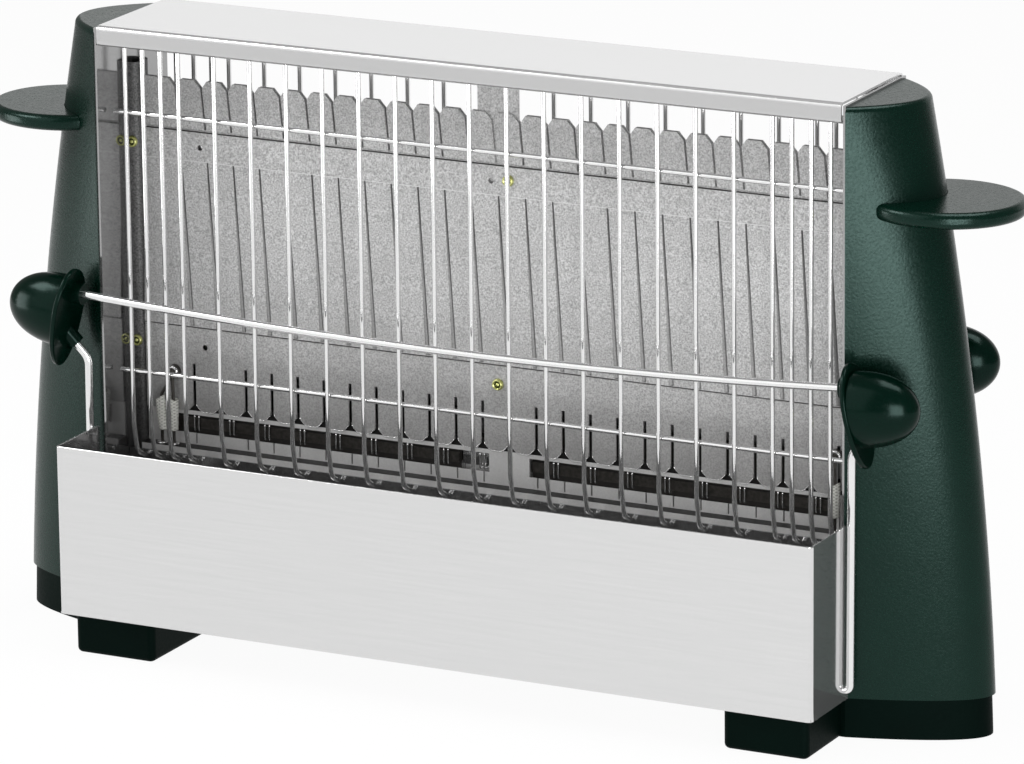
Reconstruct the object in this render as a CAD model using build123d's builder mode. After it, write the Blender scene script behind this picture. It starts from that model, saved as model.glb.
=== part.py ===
from build123d import *

from math import cos, pi, radians, sin, sqrt
import os

# Upright toaster, open at the front and at the rear. Bread leans between an upright wire grid and a
# sprung clamp on each side, over a tray. Heat comes from two elements between two slotted heat plates.
# Millimetres. X is the length, the front is -Y, Z is up, and the origin is on the floor under the middle.
# Right-hand and front pieces are drawn, and the left-hand and rear ones are their mirror images.

# Bay between the side plates
bay_length = 300.0
side_sheet = 1.0
side_plate_inset = 0.5  # of its front and rear edges behind the housing's
side_plate_gap = 0.2  # below the cover's top sheet
seat = 0.3  # where a piece drops in between two others
slip = 0.06  # round a pin or a shank, on the radius

# Base moulding: a foot bar from front to back and a plinth under the housing
foot_height = 16.0
foot_length = 108.0
foot_width = 33.1
foot_inset = 0.7  # inside the side plate
foot_corner = 2.5
foot_round = 2.0
foot_pockets = 6
base_wall = 2.5
plinth_lift = 0.5  # off the floor
plinth_inset = 1.3  # inside the housing's outline

# Base pan that ties the two ends together
pan_sheet = 0.8
pan_slot = 34.0
pan_slot_width = 4.0

# End housings: a parabola in plan on the side plate, tapering upwards with a shallow outward arc
housing_depth = 53.0
housing_nose_low = 46.7
housing_nose_high = 19.6
housing_bulge = 4.4
housing_drop = 1.6  # top of the housing below the top of the cover
housing_step = 0.5  # bottom of the housing below the base pan
housing_round = 2.0
housing_wall = 2.5
housing_sections = 5
rib_sheet = 1.8
rib_shares = (0.076, 0.27, 0.622, 0.83)  # of the housing's height
rib_window = 15.0
boss_shares = (0.16, 0.532, 0.904)
boss_size = 7.5

# Carry handles
ear_centre = 28.0  # beyond the side plate's inner face
ear_reach = 29.0
ear_overhang = 0.1  # in front of the housing
ear_height = 193.5  # of its middle
ear_thick = 6.0
ear_round = 2.4
ear_rim = 3.0
ear_floor = 2.4
ear_gap = 0.15

# Cover
cover_top = 232.6
cover_length = 299.0
cover_overhang = 0.1  # in front of the housing
cover_lip = 7.6
cover_flange = 10.0
cover_corner = 1.8
cover_sheet = 0.8

# Trays
tray_length = 306.0
tray_depth = 31.5  # from the rear edge of an end wall to the outside of the panel
tray_clear = 0.7  # in front of the housing
tray_top = 80.2
tray_corner = 1.6
tray_tab = 16.0
tray_sheet = 0.8

# Sloping deck inside each tray
deck_sheet = 0.6
deck_top = 67.8
deck_fold = 62.0
deck_knee = (27.5, 50.0)
deck_outer = 42.0
deck_hem = 6.0

# Wire grids
grid_wire = 1.8
grid_rail = 1.9
grid_pitch = 14.97
grid_full_pitches = 8
grid_plane = 19.0
grid_kink = 80.3
grid_foot = (16.9, 69.0)
grid_toe_gap = 0.7
grid_toe_height = 65.6
grid_kink_radius = 12.0
grid_toe_radius = 4.5
rail_length = 296.0
rail_heights = (198.9, 100.3)
weld = 0.15  # how far crossing wires sink into each other

# Heat plates
plate_sheet = 0.6
plate_top = 209.2
comb_front = 1.0
comb_base = 190.3
comb_joggle = 0.5
strip_base = 178.8
plate_low_front = 4.0
step_height = 115.7
plate_bottom = 83.0
slot_pitch = 10.97
slots_each_side = 12
slot_offset = 1.6  # of the middle slot at the comb
comb_slit = 0.9
comb_lean = 0.09
tab_clip = (2.3, 2.9)
tab_nick = (2.1, 2.6)
long_slot_top = 0.7
long_slot_bottom = 1.8
long_lean = 0.075
short_slot = 1.3
short_slot_drop = 14.2  # of its upper end below the step
tab_chamfer = 2.4

# Lower channel
channel_sheet = 0.6
channel_half_depth = 8.8
channel_floor = 62.0
channel_ledge = 70.0
channel_top = 87.0
channel_lap = 0.1  # behind the heat plate
window_low = 74.5
window_high = 81.5
window_end = 139.0
window_left_stop = -1.6
window_right_stop = 14.8
slit = 0.6

# End posts
post_face = 4.4  # inside the side plate
post_half_depth = 4.8
post_sheet = 0.8
post_corner = 2.5
post_top = 214.6

# Elements
card_sheet = 0.8
card_top = 97.0
card_end = 136.5
ribbon_sheet = 0.4
ribbon_height = 4.0
ribbon_centre = 78.0
ribbon_plane = 1.5

# Screws
screw_head = 4.4
screw_head_height = 1.5
screw_shank = 2.4
post_screw_high = 184.7
post_screw_drop = 7.2  # of the lower screws below the step
centre_screw_high = (6.6, 184.6)
centre_screw_low_x = 2.8
centre_screw_drop = 7.3  # below the step
bush_size = 6.0
nut_size = 5.5
nut_height = 2.4
plate_hole = 2.2
plate_holes_high = (-121.3, -0.5)
plate_holes_high_place = 183.9
plate_hole_low = -119.6
plate_hole_drop = 7.5  # below the step
strap_left = -6.2
strap_right = 10.5
strap_sheet = 0.6
base_screw_reach = 18.0  # beyond the side plate
base_screw_spread = 18.0
base_screw_length = 14.0

# Leads
lead_size = 1.2
sleeve_size = 3.6
sleeve_low = 75.5
sleeve_high = 87.6
lead_plane = 6.0
lead_places = (-137.6, -132.6, 138.2)
eyelet_places = (-132.6, 138.2)
eyelet_height = 98.0
eyelet_size = 5.0

# Terminal block and cord gland, in the right-hand housing
terminal_size = (12.0, 22.0, 12.0)
terminal_height = 84.0
gland_size = 8.0
gland_flange = 11.0
gland_bore = 5.0
gland_height = 25.0
gland_reach = 14.0

# Clamps
clamp_wire = 3.0
pivot_clear = 3.5  # of the pivots in front of the housing
pivot_height = 20.0
pivot_stub = 8.6  # of the leg inside the tray's end wall
leg_gap = 0.5  # between a leg and the tray's end wall
leg_clear = 2.5  # of the legs in front of the housing
leg_bend_height = 106.5
leg_end = (6.0, 2.6, 8.3)  # outwards, forwards and up from the upper bend
leg_low_radius = 1.8
leg_high_radius = 8.0
rod_clear = 7.5  # of the rod in front of the housing
rod_height = 132.5
rod_reach = 6.5  # beyond the side plate's inner face
rod_sag = 4.9
clip_size = 5.6
clip_sheet = 0.8

# Knobs: an egg-shaped finger guard with a bulb on it
guard_reach = 10.2  # of its middle, beyond the side plate's inner face
guard_clear = 9.0  # of its middle in front of the housing
guard_height = 123.2
guard_tilt = 11.3
guard_half_width = 10.75
guard_up = 15.5
guard_down = 22.6
guard_shift = 3.6  # widest line above the middle
guard_thick = 2.0
guard_round = 0.7
bulb_length = 23.5
bulb_half_height = 13.8
bulb_half_width = 10.2
bulb_rise = 2.4
bulb_droop = 5.5  # the bulb's axis turns down from the guard's, degrees
bulb_sections = (0.0, 0.3, 0.55, 0.75, 0.9, 0.98)
rod_boss = 8.0
rod_boss_depth = 3.2
leg_boss = 6.6

# Return springs, round the pivot stubs
spring_wire = 0.7
spring_radius = 2.3
spring_pitch = 1.25
spring_turns = 3
spring_tail = 6.0

# Places worked out from the sizes above
side_face = bay_length / 2
housing_half = housing_depth / 2
ear_half_depth = housing_half + ear_overhang
side_plate_depth = housing_depth - 2 * side_plate_inset
cover_depth = housing_depth + 2 * cover_overhang
pan_depth = cover_depth
tray_rear = housing_half + tray_clear
tray_reach = tray_rear + tray_depth
pivot_plane = housing_half + pivot_clear
leg_plane = housing_half + leg_clear
rod_plane = housing_half + rod_clear
guard_plane = housing_half + guard_clear
short_slot_top = step_height - short_slot_drop
post_screw_heights = (post_screw_high, step_height - post_screw_drop)
centre_screw_low = (centre_screw_low_x, step_height - centre_screw_drop)
plate_holes = [(x, plate_holes_high_place) for x in plate_holes_high]
plate_holes.append((plate_hole_low, step_height - plate_hole_drop))
housing_face = side_face + side_sheet
pan_top = foot_height + pan_sheet
housing_bottom = foot_height - housing_step
housing_top = cover_top - housing_drop
rib_heights = [housing_bottom + (housing_top - housing_bottom) * share for share in rib_shares]
boss_heights = [housing_bottom + (housing_top - housing_bottom) * share for share in boss_shares]
cover_under = cover_top - cover_sheet
cover_seat = cover_top - cover_lip
tray_inside = tray_length / 2 - tray_sheet
rail_plane = grid_plane - (grid_wire + grid_rail) / 2 + weld
post_web = side_face - post_face
plate_half_length = post_web - post_sheet / 2 - seat
deck_plane = channel_half_depth + seat
channel_wall = plate_low_front - plate_sheet - channel_lap
leg_x = tray_length / 2 + leg_gap + clamp_wire / 2
screw_hole = screw_shank / 2 + slip
os.makedirs("parts", exist_ok=True)


def save(piece, name):
    """Labels a finished piece and writes it under its own name."""
    piece.label = name
    export_step(piece, f"parts/{name}.step")


def save_ends(piece, name):
    """Writes a right-hand piece and its mirror image at the left-hand end."""
    save(piece, f"right_{name}")
    save(mirror(piece, about=Plane.YZ), f"left_{name}")


def save_sides(piece, name):
    """Writes a front piece and its mirror image at the rear."""
    save(piece, f"front_{name}")
    save(mirror(piece, about=Plane.XZ), f"rear_{name}")


def nose(z):
    """How far the housing stands out from the side plate at height z."""
    rise = (z - housing_bottom) / (housing_top - housing_bottom)
    straight = housing_nose_low + (housing_nose_high - housing_nose_low) * rise
    return straight + 4 * housing_bulge * rise * (1 - rise)


def lens(z, inset=0.0):
    """Plan of the housing at height z, inset all round its curved side."""
    half = housing_depth / 2 - inset
    tip = housing_face + 2 * (nose(z) - inset)
    with BuildSketch(Plane.XY.offset(z)) as plan:
        with BuildLine():
            Bezier((housing_face, -half), (tip, 0), (housing_face, half))
            Line((housing_face, half), (housing_face, -half))
        make_face()
    return plan.sketch


def housing_block(bottom, top, inset=0.0):
    """Solid of the housing's form between two heights."""
    with BuildPart() as block:
        for section in range(housing_sections):
            add(lens(bottom + (top - bottom) * section / (housing_sections - 1), inset))
        loft()
    return block.part


# End housings: a shell open towards the side plate, with cross ribs and screw bosses inside
with BuildPart() as housing_inside:
    for z in rib_heights:
        with BuildSketch(Plane.XY.offset(z)):
            with Locations((housing_face + housing_nose_low / 2, 0)):
                Rectangle(housing_nose_low, housing_depth)
            with Locations((housing_face + rib_window / 2, 0)):
                Rectangle(rib_window, rib_window, mode=Mode.SUBTRACT)
        extrude(amount=rib_sheet)
    with BuildSketch(Plane.YZ.offset(housing_face)):
        with Locations([(0, z) for z in boss_heights]):
            Circle(boss_size / 2)
    extrude(amount=housing_nose_low)
    with BuildSketch(Plane.XY.offset(housing_bottom)):
        with Locations((housing_face + base_screw_reach, 0)):
            with GridLocations(0, base_screw_spread, 1, 2):
                Circle(boss_size / 2)
    extrude(amount=rib_heights[0] - housing_bottom)
    half_wall = housing_wall / 2
    add(housing_block(housing_bottom, housing_top - half_wall, half_wall), mode=Mode.INTERSECT)

with BuildPart() as housing:
    add(housing_block(housing_bottom, housing_top))
    fillet(housing.faces().sort_by(Axis.Z)[-1].edges().sort_by(Axis.X)[-1], housing_round)
    add(housing_block(housing_bottom, housing_top - housing_wall, housing_wall), mode=Mode.SUBTRACT)
    add(housing_inside.part)
    with BuildSketch(Plane.YZ.offset(housing_face)):
        with Locations([(0, z) for z in boss_heights]):
            Circle(screw_hole)
    extrude(amount=base_screw_length, mode=Mode.SUBTRACT)
    with BuildSketch(Plane.XY.offset(housing_bottom)):
        with Locations((housing_face + base_screw_reach, 0)):
            with GridLocations(0, base_screw_spread, 1, 2):
                Circle(screw_hole)
    extrude(amount=base_screw_length, mode=Mode.SUBTRACT)
save(mirror(housing.part, about=Plane.YZ), "left_end_housing")

with BuildPart() as cord_housing:
    add(housing.part)
    with BuildSketch(Plane.XZ):
        with Locations((housing_face + gland_reach, gland_height)):
            Circle(gland_size / 2 + slip)
    extrude(amount=-housing_depth, mode=Mode.SUBTRACT)
save(cord_housing.part, "right_end_housing")

# Carry handles: an oval plate cut to the housing's form, hollow and ribbed underneath
ear_low = ear_height - ear_thick / 2
ear_high = ear_height + ear_thick / 2
ear_place = (side_face + ear_centre, 0)
with BuildPart() as ear_hollow:
    with BuildSketch(Plane.XY.offset(ear_low)):
        with Locations(ear_place):
            Ellipse(ear_reach - ear_rim, ear_half_depth - ear_rim)
        with Locations(ear_place):
            with GridLocations(0, ear_half_depth * 0.6, 1, 3):
                Rectangle(2 * ear_reach, rib_sheet, mode=Mode.SUBTRACT)
    extrude(amount=ear_thick - ear_floor)
    add(housing_block(ear_low - 1, ear_high, -ear_gap - ear_rim), mode=Mode.SUBTRACT)

with BuildPart() as ear:
    with BuildSketch(Plane.XY.offset(ear_low)):
        with Locations(ear_place):
            Ellipse(ear_reach, ear_half_depth)
    extrude(amount=ear_thick)
    fillet(ear.edges().filter_by(GeomType.LINE, reverse=True), ear_round)
    add(housing_block(ear_low - 1, ear_high + 1, -ear_gap), mode=Mode.SUBTRACT)
    split(bisect_by=Plane.YZ.offset(housing_face + ear_gap))
    add(ear_hollow.part, mode=Mode.SUBTRACT)
save_ends(ear.part, "carry_handle")

# Bases: foot bar and plinth in one moulding, pocketed from below, with two screw posts
foot_centre = side_face - foot_inset - foot_width / 2
plinth_depth = housing_depth - 2 * plinth_inset
pocket_pitch = (foot_length - base_wall) / foot_pockets
with BuildPart() as base:
    with BuildSketch():
        with Locations((foot_centre, 0)):
            RectangleRounded(foot_width, foot_length, foot_corner)
    extrude(amount=foot_height)
    fillet(base.faces().sort_by(Axis.Z)[0].edges(), foot_round)
    add(housing_block(plinth_lift, housing_bottom, plinth_inset))
    with BuildSketch(Plane.XY.offset(plinth_lift)):
        with Locations(((foot_centre + housing_face) / 2, 0)):
            Rectangle(housing_face - foot_centre, plinth_depth)
    extrude(amount=housing_bottom - plinth_lift)
    with BuildSketch():
        with Locations((foot_centre, 0)):
            with GridLocations(0, pocket_pitch, 1, foot_pockets):
                Rectangle(foot_width - 2 * base_wall, pocket_pitch - base_wall)
    extrude(amount=foot_height - base_wall, mode=Mode.SUBTRACT)
    add(housing_block(plinth_lift, housing_bottom - base_wall, plinth_inset + base_wall), mode=Mode.SUBTRACT)
    with BuildSketch(Plane.XY.offset(plinth_lift)):
        with Locations((housing_face + base_screw_reach, 0)):
            with GridLocations(0, base_screw_spread, 1, 2):
                Circle(boss_size / 2 + base_wall / 2)
    extrude(amount=housing_bottom - plinth_lift)
    with BuildSketch(Plane.XY.offset(plinth_lift)):
        with Locations((housing_face + base_screw_reach, 0)):
            with GridLocations(0, base_screw_spread, 1, 2):
                Circle(screw_head / 2 + seat)
    extrude(amount=housing_bottom - base_wall - plinth_lift, mode=Mode.SUBTRACT)
    with BuildSketch(Plane.XY.offset(plinth_lift)):
        with Locations((housing_face + base_screw_reach, 0)):
            with GridLocations(0, base_screw_spread, 1, 2):
                Circle(screw_hole)
    extrude(amount=housing_bottom - plinth_lift, mode=Mode.SUBTRACT)
save_ends(base.part, "base")

# Base pan, with air slots along the middle
with BuildPart() as pan:
    with BuildSketch(Plane.XY.offset(foot_height)):
        Rectangle(2 * housing_face, pan_depth)
        with GridLocations(pan_slot * 1.4, 0, 5, 1):
            SlotOverall(pan_slot, pan_slot_width, mode=Mode.SUBTRACT)
    extrude(amount=pan_sheet)
save(pan.part, "base_pan")

# Side plates, standing on the pan between the bay and the housing
with BuildPart() as side_plate:
    with BuildSketch(Plane.YZ.offset(side_face)):
        with Locations((0, (pan_top + cover_under - side_plate_gap) / 2)):
            Rectangle(side_plate_depth, cover_under - side_plate_gap - pan_top)
        with Locations([(0, z) for z in boss_heights]):
            Circle(screw_hole, mode=Mode.SUBTRACT)
        with Locations((0, terminal_height - terminal_size[2])):
            Circle(terminal_size[0] / 3, mode=Mode.SUBTRACT)
    extrude(amount=side_sheet)
save_ends(side_plate.part, "side_plate")

# End posts: rounded channels on the pan, open towards the side plate
with BuildPart() as post:
    with BuildSketch(Plane.XY.offset(pan_top)):
        with BuildLine() as fold:
            FilletPolyline(
                (side_face, -post_half_depth),
                (post_web, -post_half_depth),
                (post_web, post_half_depth),
                (side_face, post_half_depth),
                radius=post_corner,
            )
        trace(fold.line, post_sheet)
    extrude(amount=post_top - pan_top)
    with BuildSketch(Plane.XZ):
        with Locations([(side_face - screw_head / 2 - slip, z) for z in post_screw_heights]):
            Circle(screw_hole)
    extrude(amount=2 * post_half_depth, both=True, mode=Mode.SUBTRACT)
save_ends(post.part, "end_post")

# Cover: a channel with a lip front and rear, turned in underneath
lip_plane = cover_depth / 2 - cover_sheet / 2
lip_edge = cover_depth / 2 - cover_flange
with BuildPart() as cover:
    with BuildSketch(Plane.YZ):
        with BuildLine() as fold:
            FilletPolyline(
                (-lip_edge, cover_seat + cover_sheet / 2),
                (-lip_plane, cover_seat + cover_sheet / 2),
                (-lip_plane, cover_top - cover_sheet / 2),
                (lip_plane, cover_top - cover_sheet / 2),
                (lip_plane, cover_seat + cover_sheet / 2),
                (lip_edge, cover_seat + cover_sheet / 2),
                radius=cover_corner - cover_sheet / 2,
            )
        trace(fold.line, cover_sheet)
    extrude(amount=cover_length / 2, both=True)
save(cover.part, "top_cover")

# Trays: a panel with two end walls, folded in under the panel's corners to stand on the foot bars
panel = tray_reach - tray_sheet / 2
wall = tray_length / 2 - tray_sheet / 2
with BuildPart() as tray:
    with BuildSketch(Plane.XY.offset(foot_height)):
        with BuildLine() as fold:
            FilletPolyline(
                (-wall, -tray_rear), (-wall, -panel), (wall, -panel), (wall, -tray_rear), radius=tray_corner
            )
        trace(fold.line, tray_sheet)
    extrude(amount=tray_top - foot_height)
    with BuildSketch(Plane.XY.offset(foot_height)):
        with Locations((0, -(tray_rear + panel) / 2)):
            with GridLocations(2 * wall - tray_tab, 0, 2, 1):
                Rectangle(tray_tab, panel - tray_rear)
    extrude(amount=tray_sheet)
    with BuildSketch(Plane.YZ):
        with Locations((-pivot_plane, pivot_height)):
            Circle(clamp_wire / 2 + slip)
    extrude(amount=tray_length, both=True, mode=Mode.SUBTRACT)
save_sides(tray.part, "tray")

# Sloping decks: an upstand by the lower channel, two slopes and a hem on the panel
with BuildPart() as deck:
    with BuildSketch(Plane.YZ):
        with BuildLine() as fold:
            Polyline(
                (-deck_plane - deck_sheet / 2, deck_top),
                (-deck_plane - deck_sheet / 2, deck_fold),
                (-deck_knee[0], deck_knee[1]),
                (-(tray_reach - tray_sheet - deck_sheet / 2), deck_outer),
                (-(tray_reach - tray_sheet - deck_sheet / 2), deck_outer - deck_hem),
            )
        trace(fold.line, deck_sheet)
    extrude(amount=side_face - seat, both=True)
save_sides(deck.part, "crumb_deck")

# Grids: upright wires, turned in at the foot, welded to two rails behind them
toe_plane = deck_plane + deck_sheet + grid_toe_gap
wire_places = [grid_pitch * step for step in range(-grid_full_pitches, grid_full_pitches + 1)]
for step in (0.5, 1.0, 1.5):
    wire_places.append(grid_pitch * (grid_full_pitches + step))
    wire_places.append(-grid_pitch * (grid_full_pitches + step))
with BuildPart() as upright:
    with BuildLine() as wire_path:
        FilletPolyline(
            (0, -grid_plane, cover_seat),
            (0, -grid_plane, grid_kink),
            (0, -grid_foot[0], grid_foot[1]),
            (0, -toe_plane, grid_toe_height),
            radius=[grid_kink_radius, grid_toe_radius],
        )
    with BuildSketch(Plane(wire_path.line @ 0, x_dir=(1, 0, 0), z_dir=wire_path.line % 0)):
        RegularPolygon(grid_wire / 2, 6, major_radius=False)
    sweep()

with BuildPart() as grid:
    with Locations([(x, 0, 0) for x in wire_places]):
        add(upright.part)
    for z in rail_heights:
        with BuildSketch(Plane.YZ):
            with Locations((-rail_plane, z)):
                RegularPolygon(grid_rail / 2, 6, major_radius=False, rotation=30)
        extrude(amount=rail_length / 2, both=True)
save_sides(grid.part, "grid")


def slot_place(index, z):
    """X of a slot line at height z: leaning in the comb and the long slots, upright below them."""
    high = min(plate_top - max(z, comb_base), plate_top - comb_base) * comb_lean
    low = (comb_base - min(max(z, step_height), comb_base)) * long_lean
    return slot_offset + index * slot_pitch + high + low - (plate_top - comb_base) * comb_lean


# Heat plates: comb of clipped tabs, plain strip, long leaning slots, step, short slots with shaped tabs
slot_numbers = range(-slots_each_side, slots_each_side + 1)
joggle = comb_joggle / 2
plate_line = [
    (comb_front - plate_sheet / 2, plate_top),
    (comb_front - plate_sheet / 2, comb_base + joggle),
    (comb_front + comb_joggle - plate_sheet / 2, comb_base - joggle),
    (comb_front + comb_joggle - plate_sheet / 2, strip_base),
    (plate_low_front + comb_joggle - plate_sheet / 2, step_height + joggle),
    (plate_low_front - plate_sheet / 2, step_height - joggle),
    (plate_low_front - plate_sheet / 2, plate_bottom),
]
with BuildPart() as plate:
    with BuildSketch(Plane.YZ):
        with BuildLine() as fold:
            Polyline(*[(-y, z) for y, z in plate_line])
        trace(fold.line, plate_sheet)
    extrude(amount=plate_half_length, both=True)
    with BuildSketch(Plane.XZ):
        for number in slot_numbers:
            top = slot_place(number, plate_top)
            low = slot_place(number, comb_base)
            half = comb_slit / 2
            with BuildLine():
                Polyline(
                    (top - half - tab_clip[0], plate_top + seat),
                    (top - half - tab_clip[0], plate_top),
                    (top - half + tab_clip[1] * comb_lean, plate_top - tab_clip[1]),
                    (low - half, comb_base + comb_joggle),
                    (low + half, comb_base + comb_joggle),
                    (top + half + tab_nick[1] * comb_lean, plate_top - tab_nick[1]),
                    (top + half + tab_nick[0], plate_top),
                    (top + half + tab_nick[0], plate_top + seat),
                    close=True,
                )
            make_face()
            high = slot_place(number, strip_base)
            low = slot_place(number, step_height)
            with BuildLine():
                Polyline(
                    (high - long_slot_top / 2, strip_base - joggle),
                    (low - long_slot_bottom / 2, step_height + 2 * joggle),
                    (low + long_slot_bottom / 2, step_height + 2 * joggle),
                    (high + long_slot_top / 2, strip_base - joggle),
                    close=True,
                )
            make_face()
            foot = slot_place(number, plate_bottom)
            half = short_slot / 2
            with BuildLine():
                Polyline(
                    (foot - half, short_slot_top),
                    (foot - half, plate_bottom + tab_chamfer),
                    (foot - half - tab_chamfer, plate_bottom),
                    (foot - half - tab_chamfer, plate_bottom - seat),
                    (foot + half + tab_chamfer, plate_bottom - seat),
                    (foot + half + tab_chamfer, plate_bottom),
                    (foot + half, plate_bottom + tab_chamfer),
                    (foot + half, short_slot_top),
                    close=True,
                )
            make_face()
    extrude(amount=2 * plate_low_front, both=True, mode=Mode.SUBTRACT)
    with BuildSketch(Plane.XZ):
        with Locations(centre_screw_high, centre_screw_low):
            Circle(screw_hole)
        with Locations(*plate_holes):
            Circle(plate_hole / 2)
    extrude(amount=2 * plate_low_front, both=True, mode=Mode.SUBTRACT)
save_sides(plate.part, "heat_plate")

# Lower channel: a boxed foot and a neck behind the heat plates, with a window on each side of a bridge
window_middle = (window_low + window_high) / 2
with BuildPart() as channel:
    with BuildSketch(Plane.YZ):
        with Locations((0, (channel_floor + channel_ledge) / 2)):
            Rectangle(2 * channel_half_depth, channel_ledge - channel_floor)
        with Locations((0, (channel_ledge + channel_top) / 2)):
            Rectangle(2 * channel_wall, channel_top - channel_ledge)
        with Locations((0, (channel_floor + channel_ledge) / 2)):
            Rectangle(
                2 * (channel_half_depth - channel_sheet),
                channel_ledge - channel_floor - 2 * channel_sheet,
                mode=Mode.SUBTRACT,
            )
        with Locations((0, (channel_floor + channel_sheet + channel_top) / 2)):
            Rectangle(
                2 * (channel_wall - channel_sheet),
                channel_top - channel_floor - channel_sheet,
                mode=Mode.SUBTRACT,
            )
    extrude(amount=plate_half_length, both=True)
    with BuildSketch(Plane.XZ):
        with Locations(((window_left_stop - window_end) / 2, window_middle)):
            Rectangle(window_end + window_left_stop, window_high - window_low)
        with Locations(((window_right_stop + window_end) / 2, window_middle)):
            Rectangle(window_end - window_right_stop, window_high - window_low)
        slit_places = [slot_place(number, plate_bottom) for number in slot_numbers]
        clear = [x for x in slit_places if not window_left_stop < x < window_right_stop]
        with Locations([(x, (channel_ledge + slit + window_low) / 2) for x in clear]):
            Rectangle(slit, window_low - channel_ledge - slit)
    extrude(amount=channel_half_depth, both=True, mode=Mode.SUBTRACT)
    with BuildSketch(Plane.XY.offset(channel_ledge - 2 * channel_sheet)):
        with Locations([(x, -lead_plane) for x in lead_places]):
            Circle(lead_size / 2 + seat)
    extrude(amount=3 * channel_sheet, mode=Mode.SUBTRACT)
save(channel.part, "lower_channel")

# Elements: a card on its edge in each half of the channel, with a ribbon folded round its outer end
card_low = channel_floor + channel_sheet
with BuildPart() as card:
    with BuildSketch(Plane.XZ):
        with Locations(((window_right_stop + card_end) / 2, (card_low + card_top) / 2)):
            Rectangle(card_end - window_right_stop, card_top - card_low)
    extrude(amount=card_sheet / 2, both=True)
save_ends(card.part, "element_card")

with BuildPart() as ribbon:
    with BuildSketch(Plane.XY.offset(ribbon_centre - ribbon_height / 2)):
        with BuildLine() as fold:
            Line((window_right_stop, -ribbon_plane), (card_end, -ribbon_plane))
            Line((card_end, ribbon_plane), (window_right_stop, ribbon_plane))
            ThreePointArc((card_end, -ribbon_plane), (card_end + ribbon_plane, 0), (card_end, ribbon_plane))
        trace(fold.line, ribbon_sheet)
    extrude(amount=ribbon_height)
save_ends(ribbon.part, "element_ribbon")

# Centre strap between the plates, up to the cover, where it turns over
strap_middle = (strap_left + strap_right) / 2
with BuildPart() as strap:
    with BuildSketch(Plane.YZ):
        with BuildLine() as fold:
            Polyline(
                (0, strip_base),
                (0, cover_under - strap_sheet / 2),
                (-cover_flange, cover_under - strap_sheet / 2),
            )
        trace(fold.line, strap_sheet)
    extrude(amount=(strap_right - strap_left) / 2, both=True)
    with BuildSketch(Plane.XZ):
        with Locations((centre_screw_high[0] - strap_middle, centre_screw_high[1])):
            Circle(screw_hole)
    extrude(amount=strap_sheet, both=True, mode=Mode.SUBTRACT)
save(Pos(strap_middle, 0, 0) * strap.part, "centre_strap")

# Screws through the posts and the plates, with nuts and a spacer at the back
post_skin = post_half_depth + post_sheet / 2
strip_front = comb_front + comb_joggle
post_screw_x = side_face - screw_head / 2 - slip
with BuildPart() as plate_screws:
    for x in (-post_screw_x, post_screw_x):
        for z in post_screw_heights:
            for facing in (-1, 1):
                with BuildSketch(Plane((x, facing * post_skin, z), z_dir=(0, facing, 0))):
                    Circle(screw_head / 2)
                extrude(amount=screw_head_height)
                with BuildSketch(Plane((x, facing * post_skin, z), z_dir=(0, -facing, 0))):
                    Circle(screw_shank / 2)
                extrude(amount=post_skin / 2)
    for place, front in ((centre_screw_high, strip_front), (centre_screw_low, plate_low_front)):
        with BuildSketch(Plane((place[0], -front, place[1]), z_dir=(0, -1, 0))):
            Circle(screw_head / 2)
        extrude(amount=screw_head_height)
        with BuildSketch(Plane((place[0], -front, place[1]), z_dir=(0, 1, 0))):
            Circle(screw_shank / 2)
        extrude(amount=2 * front + nut_height)
save(plate_screws.part, "plate_screws")

with BuildPart() as plate_nuts:
    for place, front in ((centre_screw_high, strip_front), (centre_screw_low, plate_low_front)):
        with BuildSketch(Plane((place[0], front, place[1]), z_dir=(0, 1, 0))):
            RegularPolygon(nut_size / 2, 6, major_radius=False)
            Circle(screw_hole, mode=Mode.SUBTRACT)
        extrude(amount=nut_height)
save(plate_nuts.part, "plate_nuts")

with BuildPart() as bush:
    with BuildSketch(Plane.XZ):
        with Locations(centre_screw_low):
            Circle(bush_size / 2)
            Circle(screw_hole, mode=Mode.SUBTRACT)
    extrude(amount=plate_low_front - plate_sheet, both=True)
save(bush.part, "spacer_bush")

# Screws from the bay into the housings, hidden inside the posts, and screws up through the bases
with BuildPart() as side_screws:
    for facing in (-1, 1):
        for z in boss_heights:
            with BuildSketch(Plane((facing * side_face, 0, z), z_dir=(-facing, 0, 0))):
                Circle(screw_head / 2)
            extrude(amount=screw_head_height)
            with BuildSketch(Plane((facing * side_face, 0, z), z_dir=(facing, 0, 0))):
                Circle(screw_shank / 2)
            extrude(amount=base_screw_length)
save(side_screws.part, "side_plate_screws")

base_screw_seat = housing_bottom - base_wall
with BuildPart() as base_screws:
    with BuildSketch(Plane.XY.offset(base_screw_seat - screw_head_height)):
        with GridLocations(2 * (housing_face + base_screw_reach), base_screw_spread, 2, 2):
            Circle(screw_head / 2)
    extrude(amount=screw_head_height)
    with BuildSketch(Plane.XY.offset(base_screw_seat)):
        with GridLocations(2 * (housing_face + base_screw_reach), base_screw_spread, 2, 2):
            Circle(screw_shank / 2)
    extrude(amount=base_screw_length)
save(base_screws.part, "base_screws")

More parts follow.
